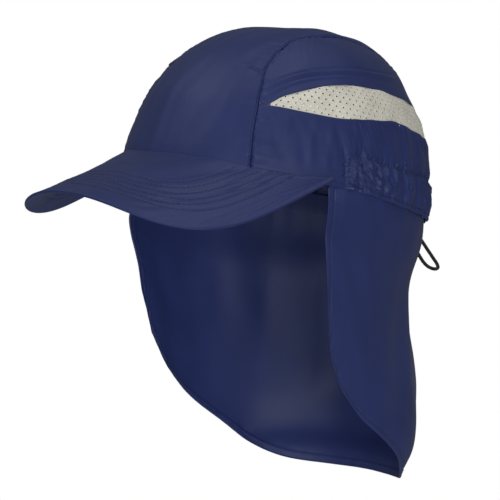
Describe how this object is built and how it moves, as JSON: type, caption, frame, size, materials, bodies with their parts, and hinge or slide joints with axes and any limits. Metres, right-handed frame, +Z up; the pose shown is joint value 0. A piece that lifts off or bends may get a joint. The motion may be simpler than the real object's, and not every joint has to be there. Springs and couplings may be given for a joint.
{
  "type": "sun cap with neck flap",
  "caption": "Soft sun cap with a curved peak, mesh vent, gathered back casing with an elastic cord loop, and a long neck flap.",
  "frame": {"origin": "middle of the head opening, where a head holds the cap", "axes": "+X the wearer's left, -Y the front with the peak, +Z up as worn; the head opening tips up 13.5 degrees at the front"},
  "size_m": [0.1704, 0.3084, 0.2744],
  "materials": {
    "navy_cloth": "fine plain-woven polyester microfibre, matt",
    "pale_mesh": "pierced knitted polyester mesh",
    "black_elastic": "braided elastic cord"
  },
  "bodies": {
    "root": {"centre_panel": "navy_cloth", "side_panel_left": "navy_cloth", "side_panel_right": "navy_cloth", "mesh_panel": "pale_mesh", "back_band": "navy_cloth", "peak": "navy_cloth", "neck_flap": "navy_cloth", "cord_loop": "black_elastic"}
  },
  "joints": []
}
